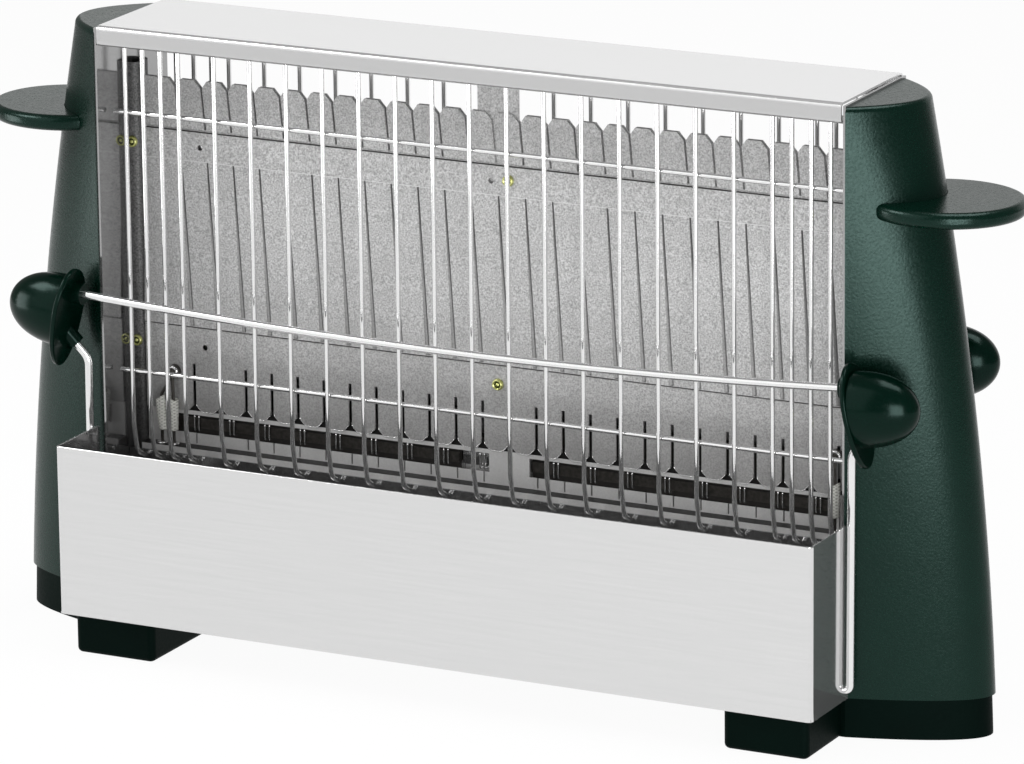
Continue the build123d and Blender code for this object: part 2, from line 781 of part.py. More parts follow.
# Element leads: wires up from the channel, each in a fibre sleeve, to an eyelet on the front plate
with BuildPart() as leads:
    with BuildSketch(Plane.XY.offset(channel_floor + 2 * channel_sheet)):
        with Locations([(x, -lead_plane) for x in eyelet_places]):
            Circle(lead_size / 2)
    extrude(amount=eyelet_height - channel_floor)
    with BuildSketch(Plane.XZ.offset(plate_low_front)):
        with Locations([(x, eyelet_height) for x in eyelet_places]):
            Circle(eyelet_size / 2)
    extrude(amount=lead_plane - plate_low_front)
    with BuildLine() as lead_path:
        FilletPolyline(
            (lead_places[0], -lead_plane, channel_floor + 2 * channel_sheet),
            (lead_places[0], -lead_plane, sleeve_high + lead_size),
            (eyelet_places[0], -lead_plane, eyelet_height - lead_size),
            radius=2 * lead_size,
        )
    with BuildSketch(Plane(lead_path.line @ 0, z_dir=lead_path.line % 0)):
        Circle(lead_size / 2)
    sweep()
save(leads.part, "lead_wires")

with BuildPart() as sleeves:
    with BuildSketch(Plane.XY.offset(sleeve_low)):
        with Locations([(x, -lead_plane) for x in lead_places]):
            Circle(sleeve_size / 2)
            Circle(lead_size / 2 + slip, mode=Mode.SUBTRACT)
    extrude(amount=sleeve_high - sleeve_low)
save(sleeves.part, "lead_sleeves")

# Terminal block on the right-hand side plate, and the gland for the mains cord behind it
with BuildPart() as terminal:
    with BuildSketch(Plane.YZ.offset(housing_face)):
        with Locations((0, terminal_height + terminal_size[2] / 2)):
            Rectangle(terminal_size[1], terminal_size[2])
    extrude(amount=terminal_size[0])
    with BuildSketch(Plane.XY.offset(terminal_height)):
        with Locations((housing_face + terminal_size[0] / 2, 0)):
            with GridLocations(0, terminal_size[1] / 3, 1, 3):
                Circle(terminal_size[1] / 9)
    extrude(amount=terminal_size[2], mode=Mode.SUBTRACT)
save(terminal.part, "terminal_block")

gland_wall = (housing_depth / 2) * sqrt(1 - gland_reach / nose(gland_height))
with BuildPart() as gland:
    with BuildSketch(Plane.XZ.offset(-gland_wall - 1.5)):
        with Locations((housing_face + gland_reach, gland_height)):
            Circle(gland_size / 2)
    extrude(amount=2.6 * housing_wall)
    with BuildSketch(Plane.XZ.offset(-gland_wall - 1.5 + 2.6 * housing_wall)):
        with Locations((housing_face + gland_reach, gland_height)):
            Circle(gland_flange / 2)
    extrude(amount=housing_wall / 2)
    with BuildSketch(Plane.XZ.offset(-housing_depth)):
        with Locations((housing_face + gland_reach, gland_height)):
            Circle(gland_bore / 2)
    extrude(amount=housing_depth, mode=Mode.SUBTRACT)
save(gland.part, "cord_gland")

# Clamp rods, sagging a little between the knobs
rod_end = side_face + rod_reach
with BuildPart() as rod:
    with BuildLine() as rod_path:
        ThreePointArc(
            (-rod_end, -rod_plane, rod_height),
            (0, -rod_plane, rod_height - rod_sag),
            (rod_end, -rod_plane, rod_height),
        )
    with BuildSketch(Plane(rod_path.line @ 0, z_dir=rod_path.line % 0)):
        Circle(clamp_wire / 2)
    sweep()
save_sides(rod.part, "clamp_rod")

# Clamp legs: a pivot stub through the tray's end wall, up beside the housing, out to the knob
with BuildPart() as leg:
    with BuildLine() as leg_path:
        FilletPolyline(
            (tray_inside - pivot_stub, -pivot_plane, pivot_height),
            (leg_x, -pivot_plane, pivot_height),
            (leg_x, -leg_plane, leg_bend_height),
            (leg_x + leg_end[0], -leg_plane - leg_end[1], leg_bend_height + leg_end[2]),
            radius=[leg_low_radius, leg_high_radius],
        )
    with BuildSketch(Plane(leg_path.line @ 0, z_dir=leg_path.line % 0)):
        Circle(clamp_wire / 2)
    sweep()

# Push-on clips at the inner ends of the pivot stubs
with BuildPart() as clip:
    with BuildSketch(Plane.YZ.offset(tray_inside - pivot_stub + clip_sheet)):
        with Locations((-pivot_plane, pivot_height)):
            Circle(clip_size / 2)
            Circle(clamp_wire / 2 + slip, mode=Mode.SUBTRACT)
    extrude(amount=clip_sheet)

# Knobs: the finger guard leans outwards at the bottom, and the bulb grows out of it
guard_middle = (side_face + guard_reach, -guard_plane, guard_height)
lean = radians(guard_tilt)
guard_out = (cos(lean), 0, sin(lean))
guard_face = Plane(guard_middle, x_dir=(0, 1, 0), z_dir=guard_out)
bulb_turn = radians(guard_tilt - bulb_droop)
bulb_out = (cos(bulb_turn), 0, sin(bulb_turn))
rod_end_point = rod_path.line @ 1
rod_end_out = rod_path.line % 1
leg_end_point = leg_path.line @ 1
leg_end_out = leg_path.line % 1
with BuildPart() as knob:
    with BuildSketch(guard_face.offset(-guard_thick / 2)):
        with BuildLine():
            upper = EllipticalCenterArc(
                (0, guard_shift), guard_half_width, guard_up, start_angle=0, arc_size=180
            )
            lower = EllipticalCenterArc(
                (0, guard_shift), guard_half_width, guard_down, start_angle=180, arc_size=180
            )
        make_face()
    extrude(amount=guard_thick)
    fillet(knob.edges().filter_by(GeomType.ELLIPSE), guard_round)
    for share in bulb_sections:
        size = sqrt(1 - share**2.4)
        with BuildSketch(
            Plane(
                Vector(guard_middle) + Vector(bulb_out) * bulb_length * share + Vector(0, 0, bulb_rise),
                x_dir=(0, 1, 0),
                z_dir=bulb_out,
            )
        ):
            Ellipse(bulb_half_width * size, bulb_half_height * size)
    loft()
    with BuildSketch(Plane(rod_end_point - rod_end_out * rod_boss_depth, z_dir=rod_end_out)):
        Circle(rod_boss / 2)
    extrude(amount=rod_boss_depth + guard_thick)
    with BuildSketch(Plane(leg_end_point - leg_end_out * leg_boss / 2, z_dir=leg_end_out)):
        Circle(leg_boss / 2)
    extrude(amount=leg_boss)
    with BuildSketch(Plane(rod_end_point + rod_end_out * slip, z_dir=-rod_end_out)):
        Circle(clamp_wire / 2 + slip)
    extrude(amount=2 * rod_boss_depth, mode=Mode.SUBTRACT)
    with BuildSketch(Plane(leg_end_point + leg_end_out * slip, z_dir=-leg_end_out)):
        Circle(clamp_wire / 2 + slip)
    extrude(amount=2 * leg_boss, mode=Mode.SUBTRACT)
for end, turn in (("right", None), ("left", Plane.YZ)):
    for piece, name in ((leg.part, "leg"), (clip.part, "pivot_clip"), (knob.part, "knob")):
        at_end = mirror(piece, about=turn) if turn else piece
        save(at_end, f"front_{end}_{name}")
        save(mirror(at_end, about=Plane.XZ), f"rear_{end}_{name}")


def biarc(start, start_way, finish, finish_way):
    """Two arcs from start to finish that leave and arrive along the given directions."""
    chord = finish - start
    ways = start_way + finish_way
    square = 2 * (start_way.dot(finish_way) - 1)
    reach = chord.dot(ways) - sqrt(chord.dot(ways) ** 2 - square * chord.dot(chord))
    first_corner = start + start_way * (reach / square)
    second_corner = finish - finish_way * (reach / square)
    meet = (first_corner + second_corner) * 0.5
    TangentArc(start, meet, tangent=start_way)
    TangentArc(meet, finish, tangent=second_corner - first_corner)


def coil_point(quarter):
    """Point of the coil's centre line after so many quarter turns, and its direction there."""
    angle = quarter * pi / 2 - pi / 2
    advance = spring_pitch * quarter / 4
    point = Vector(
        coil_start + advance,
        -pivot_plane + spring_radius * cos(angle),
        pivot_height + spring_radius * sin(angle),
    )
    slope = spring_pitch / (2 * pi * spring_radius)
    return point, Vector(slope, -sin(angle), cos(angle)).normalized()


# Return springs: a coil round each pivot stub, one tail along the tray and one up its end wall
spring_quarters = 4 * spring_turns + 1
coil_start = tray_inside - 2 * spring_wire - spring_pitch * spring_quarters / 4
with BuildPart() as spring:
    with BuildLine() as spring_path:
        first, first_way = coil_point(0)
        Line(first - first_way * spring_tail, first)
        for quarter in range(spring_quarters):
            biarc(*coil_point(quarter), *coil_point(quarter + 1))
        last, last_way = coil_point(spring_quarters)
        Line(last, last + last_way * spring_tail)
    with BuildSketch(Plane(spring_path.line @ 0, z_dir=spring_path.line % 0)):
        RegularPolygon(spring_wire / 2, 6, major_radius=False)
    sweep()
spring_pair = Compound([spring.part, mirror(spring.part, about=Plane.YZ)])
save_sides(spring_pair, "return_springs")

# The coils' least gap, measured along the centre line between points half a turn or more apart
samples = [coil_point(step / 8)[0] for step in range(8 * spring_quarters + 1)]
least = min(
    (samples[i] - samples[j]).length for i in range(len(samples)) for j in range(i + 16, len(samples))
)
print("least gap between the coils of a return spring:", round(least - spring_wire, 2))
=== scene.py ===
# %% [markdown]
# An upright bread toaster, dressed around its finished CAD frame.
# The frame already holds every rigid piece at its real size, so this lesson is mostly about finishes:
# what each surface of the real toaster is made of, and how a few shader nodes can say so.
# Wires, screw heads and other small fittings are made finer here, because the frame keeps them plain.

# %% Load the frame
import math

import bmesh
import bpy
from mathutils import Matrix, Vector


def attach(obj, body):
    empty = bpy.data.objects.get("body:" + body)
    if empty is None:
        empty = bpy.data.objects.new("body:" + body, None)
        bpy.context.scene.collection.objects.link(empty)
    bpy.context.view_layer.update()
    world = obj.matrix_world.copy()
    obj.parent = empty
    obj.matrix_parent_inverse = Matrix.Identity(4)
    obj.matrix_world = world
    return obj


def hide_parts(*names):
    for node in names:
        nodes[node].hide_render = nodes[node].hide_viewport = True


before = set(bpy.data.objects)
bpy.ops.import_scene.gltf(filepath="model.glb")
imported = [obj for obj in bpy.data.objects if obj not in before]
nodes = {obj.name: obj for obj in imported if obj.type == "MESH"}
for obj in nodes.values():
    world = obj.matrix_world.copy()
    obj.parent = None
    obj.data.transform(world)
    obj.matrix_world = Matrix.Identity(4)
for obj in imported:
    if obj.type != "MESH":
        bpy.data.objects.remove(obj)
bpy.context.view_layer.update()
MM = 0.001
print("the frame holds", len(nodes), "nodes")

# %% [markdown]
# The camera stands in front of the toaster, to the right and a little above it, a long way back.
# A long lens from far away keeps the upright edges nearly parallel, as product pictures usually do.

# %% Camera
IMAGE_WIDTH = 1024
SENSOR = 36.0
FOCAL_PIXELS = 6955.87
AZIMUTH, ELEVATION, ROLL = (math.radians(a) for a in (27.03, 15.57, -0.62))
DISTANCE = 2535.48 * MM
TARGET = Vector((6.4, 0.0, 108.7)) * MM

forward = Vector(
    (
        -math.sin(AZIMUTH) * math.cos(ELEVATION),
        math.cos(AZIMUTH) * math.cos(ELEVATION),
        -math.sin(ELEVATION),
    )
)
level_right = Vector((math.cos(AZIMUTH), math.sin(AZIMUTH), 0.0))
level_up = level_right.cross(forward)
right = math.cos(ROLL) * level_right + math.sin(ROLL) * level_up
up = math.cos(ROLL) * level_up - math.sin(ROLL) * level_right

camera_data = bpy.data.cameras.new("camera")
camera_data.sensor_width = SENSOR
camera_data.lens = FOCAL_PIXELS / IMAGE_WIDTH * SENSOR
camera_data.clip_end = 50.0
camera = bpy.data.objects.new("camera", camera_data)
bpy.context.collection.objects.link(camera)
turn = Matrix((right, up, -forward)).transposed().to_4x4()
camera.matrix_world = Matrix.Translation(TARGET - forward * DISTANCE) @ turn
bpy.context.scene.camera = camera
bpy.context.scene.view_settings.view_transform = "Standard"
print("lens", round(camera_data.lens, 1), "mm at", round(DISTANCE, 2), "m")

# %% [markdown]
# Colours are written as the hex codes that a colour picker shows, and shaders want them linear.
# One small function adds a node: names with a dot set the node itself, the others set its sockets.


# %% Helpers for finishes
def linear(code):
    """An sRGB hex colour as linear red, green, blue and alpha."""
    channels = [int(code[i : i + 2], 16) / 255 for i in (1, 3, 5)]
    return [c / 12.92 if c <= 0.04045 else ((c + 0.055) / 1.055) ** 2.4 for c in channels] + [1.0]


def add_node(tree, kind, settings=(), links=()):
    """Adds a node, sets what settings name and links what links name."""
    node = tree.nodes.new(kind)
    for name, value in dict(settings).items():
        if isinstance(name, str) and name.startswith("."):
            setattr(node, name[1:], value)
        else:
            node.inputs[name].default_value = value
    for name, source in dict(links).items():
        tree.links.new(source, node.inputs[name])
    return node


def per_mm(size):
    """Scale of a pattern on metre coordinates whose cells are size millimetres wide."""
    return 1.0 / (size * MM)


def finish(name, **settings):
    """A new material with one Principled shader, returned with its tree, shader and coordinates."""
    material = bpy.data.materials.new(name)
    material.use_nodes = True
    tree = material.node_tree
    tree.nodes.clear()
    shader = add_node(
        tree,
        "ShaderNodeBsdfPrincipled",
        {socket.replace("_", " "): value for socket, value in settings.items()},
    )
    add_node(tree, "ShaderNodeOutputMaterial", links={"Surface": shader.outputs["BSDF"]})
    place = add_node(tree, "ShaderNodeTexCoord").outputs["Object"]
    return material, tree, shader, place


# %% [markdown]
# The housings, handles and knobs are injection-moulded polypropylene in a deep bottle green.
# The mould was spark-eroded, so the skin has a fine even grain that breaks highlights into sparks
# and makes them soft and slightly milky. The grain is about a third of a millimetre on the real thing.
# It is drawn nearly three times as large here, because anything finer would vanish in the picture.
# Polypropylene reflects a little less than glassy plastics do, which keeps the shaded side nearly
# black, and light that has passed through the pigmented skin gives the shine a green cast.

# %% Moulded green plastic
GRAIN, GRAIN_DEPTH = 0.9, 0.08
GREEN_FLOW = 18.0
GREEN_SHINE = "#d4fff6"
SHINE_SPREAD = 0.05


def moulded_plastic(name, deep, light, roughness, relief, gloss):
    """Grained polypropylene: a soft wide highlight over a dark colour."""
    material, tree, shader, place = finish(
        name, IOR=1.49, Specular_IOR_Level=gloss, Specular_Tint=linear(GREEN_SHINE)
    )
    flow = add_node(
        tree,
        "ShaderNodeTexNoise",
        {"Scale": per_mm(GREEN_FLOW), "Detail": 3.0},
        {"Vector": place},
    )
    blend = add_node(
        tree,
        "ShaderNodeMix",
        {".data_type": "RGBA", 6: linear(deep), 7: linear(light)},
        {0: flow.outputs["Fac"]},
    )
    grain = add_node(
        tree,
        "ShaderNodeTexNoise",
        {"Scale": per_mm(GRAIN), "Detail": 1.5, "Roughness": 0.55},
        {"Vector": place},
    ).outputs["Fac"]
    least, most = roughness - SHINE_SPREAD, roughness + SHINE_SPREAD
    shine = add_node(
        tree,
        "ShaderNodeMapRange",
        {"From Min": 0.3, "From Max": 0.7, "To Min": least, "To Max": most},
        {"Value": grain},
    )
    skin = add_node(
        tree,
        "ShaderNodeBump",
        {"Strength": relief, "Distance": GRAIN_DEPTH * MM},
        {"Height": grain},
    )
    tree.links.new(blend.outputs[2], shader.inputs["Base Color"])
    tree.links.new(shine.outputs["Result"], shader.inputs["Roughness"])
    tree.links.new(skin.outputs["Normal"], shader.inputs["Normal"])
    return material


housing_plastic = moulded_plastic(
    "grained_bottle_green_plastic", "#01130c", "#021a12", roughness=0.26, relief=0.6, gloss=0.25
)
grip_plastic = moulded_plastic(
    "smooth_bottle_green_plastic", "#010e09", "#01160e", roughness=0.2, relief=0.1, gloss=0.14
)
base_plastic = moulded_plastic(
    "dark_green_base_plastic", "#010705", "#010c08", roughness=0.55, relief=0.35, gloss=0.05
)
print("three grades of moulded plastic, grain", GRAIN, "mm")

# %% [markdown]
# The cover and the trays are cold-rolled stainless steel with a bright mill finish.
# Rolling leaves faint streaks along the sheet, so the noise is stretched lengthwise by a Mapping node.
# A tenth or more of the shader is left non-metallic: it stands for the thin haze of fine scratches
# that keeps a polished sheet from looking black where it mirrors something black.
# The cover's lip is given a darker grey than its flat top.

# %% Bright rolled stainless steel
COVER_TOP = 232.6
LIP_DARK_FULL, LIP_DARK_NONE = COVER_TOP - 1.4, COVER_TOP - 0.3
STREAK, STREAK_STRETCH = 1.2, 0.03


def rolled_steel(name, bright, dull, roughness, haze, lip=None):
    """Stainless sheet, streaked along the rolling direction."""
    material, tree, shader, place = finish(name, Metallic=1.0 - haze)
    along = add_node(
        tree, "ShaderNodeMapping", {"Scale": (STREAK_STRETCH, 1.0, 1.0)}, {"Vector": place}
    )
    streaks = add_node(
        tree,
        "ShaderNodeTexNoise",
        {"Scale": per_mm(STREAK), "Detail": 3.0, "Roughness": 0.6},
        {"Vector": along.outputs["Vector"]},
    ).outputs["Fac"]
    colour = add_node(
        tree,
        "ShaderNodeMix",
        {".data_type": "RGBA", 6: linear(dull), 7: linear(bright)},
        {0: streaks},
    ).outputs[2]
    shine = add_node(
        tree,
        "ShaderNodeMapRange",
        {"To Min": roughness * 0.8, "To Max": roughness * 1.2},
        {"Value": streaks},
    )
    # From just below the top's edge downwards, the colour goes over to the lip's darker grey.
    if lip:
        height = add_node(tree, "ShaderNodeSeparateXYZ", links={"Vector": place}).outputs["Z"]
        above = add_node(
            tree,
            "ShaderNodeMapRange",
            {"From Min": LIP_DARK_FULL * MM, "From Max": LIP_DARK_NONE * MM},
            {"Value": height},
        )
        colour = add_node(
            tree,
            "ShaderNodeMix",
            {".data_type": "RGBA", 6: linear(lip)},
            {0: above.outputs["Result"], 7: colour},
        ).outputs[2]
    tree.links.new(colour, shader.inputs["Base Color"])
    tree.links.new(shine.outputs["Result"], shader.inputs["Roughness"])
    return material


cover_steel = rolled_steel(
    "bright_rolled_cover_steel", "#f3f3f3", "#ececec", roughness=0.24, haze=0.1, lip="#c6c6c6"
)
tray_steel = rolled_steel(
    "bright_rolled_tray_steel", "#dadada", "#d2d2d2", roughness=0.1, haze=0.1
)
deck_steel = rolled_steel(
    "polished_crumb_deck_steel", "#949494", "#868686", roughness=0.14, haze=0.16
)
mirror_sheet = rolled_steel(
    "bright_aluminised_side_sheet", "#a8a8a8", "#9c9c9c", roughness=0.1, haze=0.12
)
print("four rolled sheets, streaks", STREAK, "mm across")

# %% [markdown]
# The heat plates are hot-dip aluminised steel. The dip freezes into a fine spangle of matt crystals,
# so the sheet looks like grey sandpaper up close. Its tone varies in soft clouds. Low down it is
# painted darker, as painted shade where the lower tabs lean away from the light, and it is a little
# darker round the comb's base. Two of its folds carry painted shadows, thin dark lines where one
# layer of sheet overhangs another, and a third fold carries a painted highlight. Each line is given as
# its height, half its width and its colour, and the heights repeat those of the plate, so the lines
# sit where the sheet is bent. On the channel below, whatever faces up is painted dark as painted shade,
# and so is a band behind the tabs' lower ends, as their painted shadow.

# %% Aluminised heat plate
SPANGLE, SPANGLE_DEPTH = 0.6, 0.05
HEAT_CLOUD = 34.0
COMB_BASE, STRIP_BASE, STEP_HEIGHT = 190.3, 178.8, 115.7
LOW_SHADE_START, LOW_SHADE_END = 132.0, 88.0
COMB_DARK_START, COMB_DARK_END = 186.0, 194.0
# Painted shadows and a painted highlight: the two dark lines stand for shadow under overhanging sheet, the
# pale one for light caught on a bend.
FOLD_SHADOWS_AND_HIGHLIGHT = (
    (COMB_BASE - 0.4, 0.28, "#2c2b2a"),
    (STEP_HEIGHT + 0.1, 0.22, "#3a3938"),
    (STRIP_BASE - 0.2, 0.12, "#d6d6d6"),
)
TAB_SHADOW = ((85.4, 2.3, "#121110"),)


def aluminised_sheet(name, dark, pale, cloud_and_low_shade, painted_lines=(), painted_upward_shade=None):
    """Matt spangled coating in cloudy tones, painted darker low down as shade, with painted shadow and
    highlight lines and painted upward shade where given.
    """
    material, tree, shader, place = finish(name, Metallic=0.45)
    height = add_node(tree, "ShaderNodeSeparateXYZ", links={"Vector": place}).outputs["Z"]
    spangle = add_node(
        tree,
        "ShaderNodeTexNoise",
        {"Scale": per_mm(SPANGLE), "Detail": 2.0, "Roughness": 0.7},
        {"Vector": place},
    ).outputs["Fac"]
    grit = add_node(
        tree, "ShaderNodeMapRange", {"From Min": 0.34, "From Max": 0.66}, {"Value": spangle}
    )
    colour = add_node(
        tree,
        "ShaderNodeMix",
        {".data_type": "RGBA", 6: linear(dark), 7: linear(pale)},
        {0: grit.outputs["Result"]},
    ).outputs[2]

    cloud = add_node(
        tree,
        "ShaderNodeTexNoise",
        {"Scale": per_mm(HEAT_CLOUD), "Detail": 4.0, "Roughness": 0.6},
        {"Vector": place},
    )
    # Painted shade: the sheet darkens towards its lower end, where the lower tabs lean away from the
    # light.
    low = add_node(
        tree,
        "ShaderNodeMapRange",
        {"From Min": LOW_SHADE_START * MM, "From Max": LOW_SHADE_END * MM, "To Min": -0.18, "To Max": 0.4},
        {"Value": height},
    )
    # Round the comb's base the sheet is a little darker too.
    high = add_node(
        tree,
        "ShaderNodeMapRange",
        {"From Min": COMB_DARK_START * MM, "From Max": COMB_DARK_END * MM, "To Max": 0.15},
        {"Value": height},
    )
    ends = add_node(
        tree, "ShaderNodeMath", links={0: low.outputs["Result"], 1: high.outputs["Result"]}
    )
    patch = add_node(
        tree,
        "ShaderNodeMath",
        {".operation": "MULTIPLY_ADD", ".use_clamp": True, 1: 0.6},
        {0: cloud.outputs["Fac"], 2: ends.outputs[0]},
    )

    # Layers: the cloudy tone with its painted low shade, then painted lines, then painted upward shade.
    tones_and_painted_light = [(patch.outputs[0], cloud_and_low_shade)]
    for fold, half, code in painted_lines:
        line = add_node(
            tree,
            "ShaderNodeMath",
            {".operation": "COMPARE", 1: fold * MM, 2: half * MM},
            {0: height},
        )
        tones_and_painted_light.append((line.outputs[0], code))
    # Painted shade: faces that point up, such as the ledge under the tabs, are darkened.
    if painted_upward_shade:
        facing = add_node(tree, "ShaderNodeNewGeometry").outputs["Normal"]
        upward = add_node(tree, "ShaderNodeSeparateXYZ", links={0: facing}).outputs["Z"]
        level = add_node(
            tree, "ShaderNodeMapRange", {"From Min": 0.5, "From Max": 0.8}, {"Value": upward}
        )
        tones_and_painted_light.append((level.outputs["Result"], painted_upward_shade))
    for share, code in tones_and_painted_light:
        colour = add_node(
            tree,
            "ShaderNodeMix",
            {".data_type": "RGBA", 7: linear(code)},
            {0: share, 6: colour},
        ).outputs[2]

    shine = add_node(
        tree, "ShaderNodeMapRange", {"To Min": 0.4, "To Max": 0.6}, {"Value": spangle}
    )
    relief = add_node(
        tree,
        "ShaderNodeBump",
        {"Strength": 0.25, "Distance": SPANGLE_DEPTH * MM},
        {"Height": spangle},
    )
    tree.links.new(colour, shader.inputs["Base Color"])
    tree.links.new(shine.outputs["Result"], shader.inputs["Roughness"])
    tree.links.new(relief.outputs["Normal"], shader.inputs["Normal"])
    return material


heat_sheet = aluminised_sheet(
    "aluminised_heat_plate", "#949494", "#dedede", "#8b8a89", painted_lines=FOLD_SHADOWS_AND_HIGHLIGHT
)
# The channel's sheet is paler than the plates': painted light for the light that bounces into its pocket.
channel_painted_light_and_shade = aluminised_sheet(
    "channel_sheet_painted_light_and_shade", "#d2d2d2", "#efefef", "#c9c8c7", painted_lines=TAB_SHADOW, painted_upward_shade="#0b0a0a"
)
# The slot lips get a darker copy of the plate's sheet: painted shade.
slot_lip_painted_shade = aluminised_sheet("painted_shade_slot_lip", "#7d7d7d", "#9b9b9b", "#777675")
# The end posts get a much darker copy of the sheet that goes near black low down: painted shade on the
# post and painted shadow at its foot.
post_sheet_painted_shade = aluminised_sheet("aluminised_end_post_painted_shade", "#464646", "#848484", "#161615")
print("four aluminised sheets, spangle", SPANGLE, "mm")

# %% [markdown]
# Wires are drawn steel with a bright nickel and chromium plate. Drawing leaves them a little satiny,
# so they gather light from all round and look white with thin dark outlines.
# Small screws are zinc plated and passivated yellow: metal with an oily yellow-green cast.
# Their recesses are painted dark olive, as painted shade in the hollows.

# %% Plated wires and screws
chrome, tree, shader, place = finish("chromed_drawn_wire", Metallic=0.92)
shader.inputs["Base Color"].default_value = linear("#e4e4e4")
drawn = add_node(tree, "ShaderNodeTexNoise", {"Scale": per_mm(3.0)}, {"Vector": place})
shine = add_node(
    tree,
    "ShaderNodeMapRange",
    {"To Min": 0.06, "To Max": 0.12},
    {"Value": drawn.outputs["Fac"]},
)
tree.links.new(shine.outputs["Result"], shader.inputs["Roughness"])

yellow_zinc, tree, shader, place = finish("yellow_passivated_zinc", Metallic=0.9, Roughness=0.28)
iridescence = add_node(
    tree, "ShaderNodeTexNoise", {"Scale": per_mm(1.2), "Detail": 2.0}, {"Vector": place}
)
oily = add_node(
    tree,
    "ShaderNodeMix",
    {".data_type": "RGBA", 6: linear("#b3b84c"), 7: linear("#e6e6ac")},
    {0: iridescence.outputs["Fac"]},
)
tree.links.new(oily.outputs[2], shader.inputs["Base Color"])

# Painted shade: the recess rings are dark olive to stand for the shade in each head's hollow.
recess_shade_zinc, tree, shader, place = finish("painted_shade_screw_recess", Metallic=0.4, Roughness=0.6)
recess_mottle = add_node(tree, "ShaderNodeTexNoise", {"Scale": per_mm(0.8)}, {"Vector": place})
olive = add_node(
    tree,
    "ShaderNodeMix",
    {".data_type": "RGBA", 6: linear("#1d200a"), 7: linear("#4b5216")},
    {0: recess_mottle.outputs["Fac"]},
)
tree.links.new(olive.outputs[2], shader.inputs["Base Color"])
print("plated metals:", chrome.name, yellow_zinc.name, recess_shade_zinc.name)

# %% [markdown]
# Everything near the heating elements has to stand the heat: mica cards, burnt nearly black
# by the first toasting, and on them a dull ribbon of resistance alloy.

# %% Mica and ribbon
mica, tree, shader, place = finish("burnt_mica_card", Roughness=0.55)
flakes = add_node(
    tree,
    "ShaderNodeTexNoise",
    {"Scale": per_mm(2.5), "Detail": 4.0, "Roughness": 0.7},
    {"Vector": place},
)
burnt = add_node(
    tree,
    "ShaderNodeMix",
    {".data_type": "RGBA", 6: linear("#100f0e"), 7: linear("#2e2b27")},
    {0: flakes.outputs["Fac"]},
)
scales = add_node(
    tree,
    "ShaderNodeBump",
    {"Strength": 0.3, "Distance": 0.05 * MM},
    {"Height": flakes.outputs["Fac"]},
)
tree.links.new(burnt.outputs[2], shader.inputs["Base Color"])
tree.links.new(scales.outputs["Normal"], shader.inputs["Normal"])

ribbon_alloy, tree, shader, place = finish("dull_resistance_alloy", Metallic=1.0, Roughness=0.4)
oxide = add_node(tree, "ShaderNodeTexNoise", {"Scale": per_mm(1.5)}, {"Vector": place})
dulled = add_node(
    tree,
    "ShaderNodeMix",
    {".data_type": "RGBA", 6: linear("#3a3836"), 7: linear("#6a6763")},
    {0: oxide.outputs["Fac"]},
)
tree.links.new(dulled.outputs[2], shader.inputs["Base Color"])
print("element materials:", mica.name, ribbon_alloy.name)

# %% [markdown]
# The leads of the elements run in sleeves plaited from glass fibre. The plait is drawn as two sets
# of diagonal bands about a millimetre apart, one leaning each way, and the higher of them is on top.
# A Wave texture repeats about three times in each of its cells, hence the cell of three millimetres.

# %% Plaited glass fibre
PLAIT_LEAN = 35.0
BAND_CELL = 3.2

sleeve_fibre, tree, shader, place = finish("plaited_glass_fibre", Roughness=0.75)
bands = []
for lean in (PLAIT_LEAN, -PLAIT_LEAN):
    turned = add_node(
        tree,
        "ShaderNodeMapping",
        {"Rotation": (0.0, math.radians(lean), 0.0)},
        {"Vector": place},
    )
    wave = add_node(
        tree,
        "ShaderNodeTexWave",
        {".bands_direction": "Z", "Scale": per_mm(BAND_CELL), "Distortion": 0.6},
        {"Vector": turned.outputs["Vector"]},
    )
    bands.append(wave.outputs["Fac"])
plait = add_node(tree, "ShaderNodeMath", {".operation": "MAXIMUM"}, {0: bands[0], 1: bands[1]})
yarn = add_node(
    tree,
    "ShaderNodeMix",
    {".data_type": "RGBA", 6: linear("#96968e"), 7: linear("#e0e0da")},
    {0: plait.outputs[0]},
)
strands = add_node(
    tree,
    "ShaderNodeBump",
    {"Strength": 0.6, "Distance": 0.15 * MM},
    {"Height": plait.outputs[0]},
)
tree.links.new(yarn.outputs[2], shader.inputs["Base Color"])
tree.links.new(strands.outputs["Normal"], shader.inputs["Normal"])
print("the plait leans", PLAIT_LEAN, "degrees each way")

# %% [markdown]
# Every CAD node gets one of these finishes. The list is short because most pieces share a sheet.

# %% Finishes on the CAD nodes
FINISHES = {
    housing_plastic: ("end_housing", "carry_handle"),
    grip_plastic: ("knob",),
    base_plastic: ("base", "cord_gland"),
    cover_steel: ("top_cover",),
    tray_steel: ("tray",),
    deck_steel: ("crumb_deck",),
    mirror_sheet: ("side_plate", "base_pan", "spacer_bush"),
    post_sheet_painted_shade: ("end_post",),
    heat_sheet: ("heat_plate", "centre_strap"),
    channel_painted_light_and_shade: ("lower_channel",),
    chrome: ("grid", "clamp_rod", "leg", "return_springs"),
    yellow_zinc: ("plate_screws", "plate_nuts", "side_plate_screws", "base_screws", "pivot_clip"),
    mica: ("element_card", "terminal_block"),
    ribbon_alloy: ("element_ribbon", "lead_wires"),
    sleeve_fibre: ("lead_sleeves",),
}
for node_name, node in nodes.items():
    for material, endings in FINISHES.items():
        if node_name.endswith(endings):
            node.data.materials.clear()
            node.data.materials.append(material)
bare = [name for name, node in nodes.items() if node.data.materials[0] not in FINISHES]
print("nodes without a finish:", bare or "none")

# %% [markdown]
# Round wire is everywhere on this toaster. A curve with a round bevel is its natural model:
# the curve's path is the wire's own centre line. Every bend is one Bezier arc between straight runs,
# so the corners stay round however close the camera comes.

# %% Round wire from straight runs and rounded corners
END_HANDLE = 0.2


